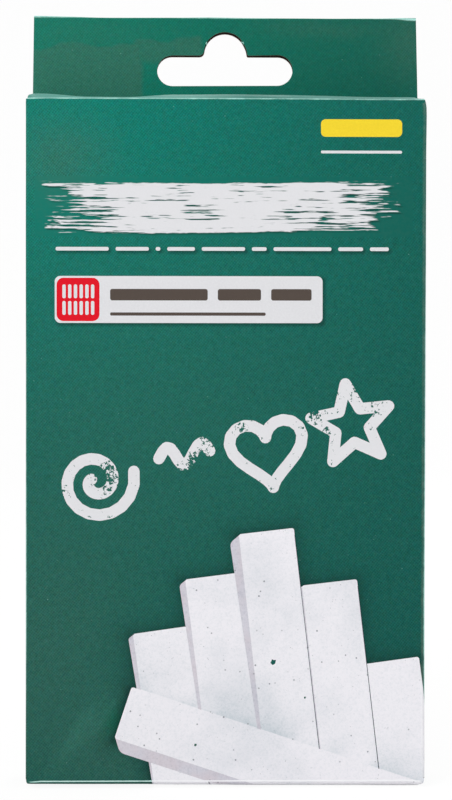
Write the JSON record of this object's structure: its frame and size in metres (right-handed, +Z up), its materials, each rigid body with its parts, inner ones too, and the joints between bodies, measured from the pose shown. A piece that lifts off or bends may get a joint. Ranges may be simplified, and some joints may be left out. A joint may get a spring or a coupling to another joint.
{
  "type": "hang-tab chalk carton",
  "caption": "Slim folded board carton with a hinged tuck lid, a doubled hang tab with a shaped hanging slot, and a stack of square chalk sticks inside.",
  "frame": {"origin": "middle of the carton's footprint, on the surface it stands on", "axes": "+Z up the carton towards the hang tab, front panel facing -Y, +X to the right as seen from the front"},
  "size_m": [0.087, 0.015, 0.17],
  "materials": {
    "printed_board": "satin",
    "white_chalk": "matte"
  },
  "bodies": {
    "carton": {"carton": "printed_board", "chalk_stick_01": "white_chalk", "chalk_stick_02": "white_chalk", "chalk_stick_03": "white_chalk", "chalk_stick_04": "white_chalk", "chalk_stick_05": "white_chalk", "chalk_stick_06": "white_chalk", "chalk_stick_07": "white_chalk", "chalk_stick_08": "white_chalk", "chalk_stick_09": "white_chalk", "chalk_stick_10": "white_chalk", "chalk_stick_11": "white_chalk", "chalk_stick_12": "white_chalk"},
    "lid": {"lid": "printed_board"},
    "tuck_flap": {"tuck_flap": "printed_board"}
  },
  "joints": [
    {"name": "lid_hinge", "type": "hinge", "parent": "carton", "child": "lid", "pos_m": [0, -0.00728, 0.14977], "axis": [1, 0, 0], "range_deg": [0, 110]},
    {"name": "tuck_fold", "type": "hinge", "parent": "lid", "child": "tuck_flap", "pos_m": [0, 0.00558, 0.14977], "axis": [1, 0, 0], "range_deg": [-38.5, 0]}
  ],
  "couplings": [
    {"joint": "tuck_fold", "follows": "lid_hinge", "ratio": -0.35}
  ]
}
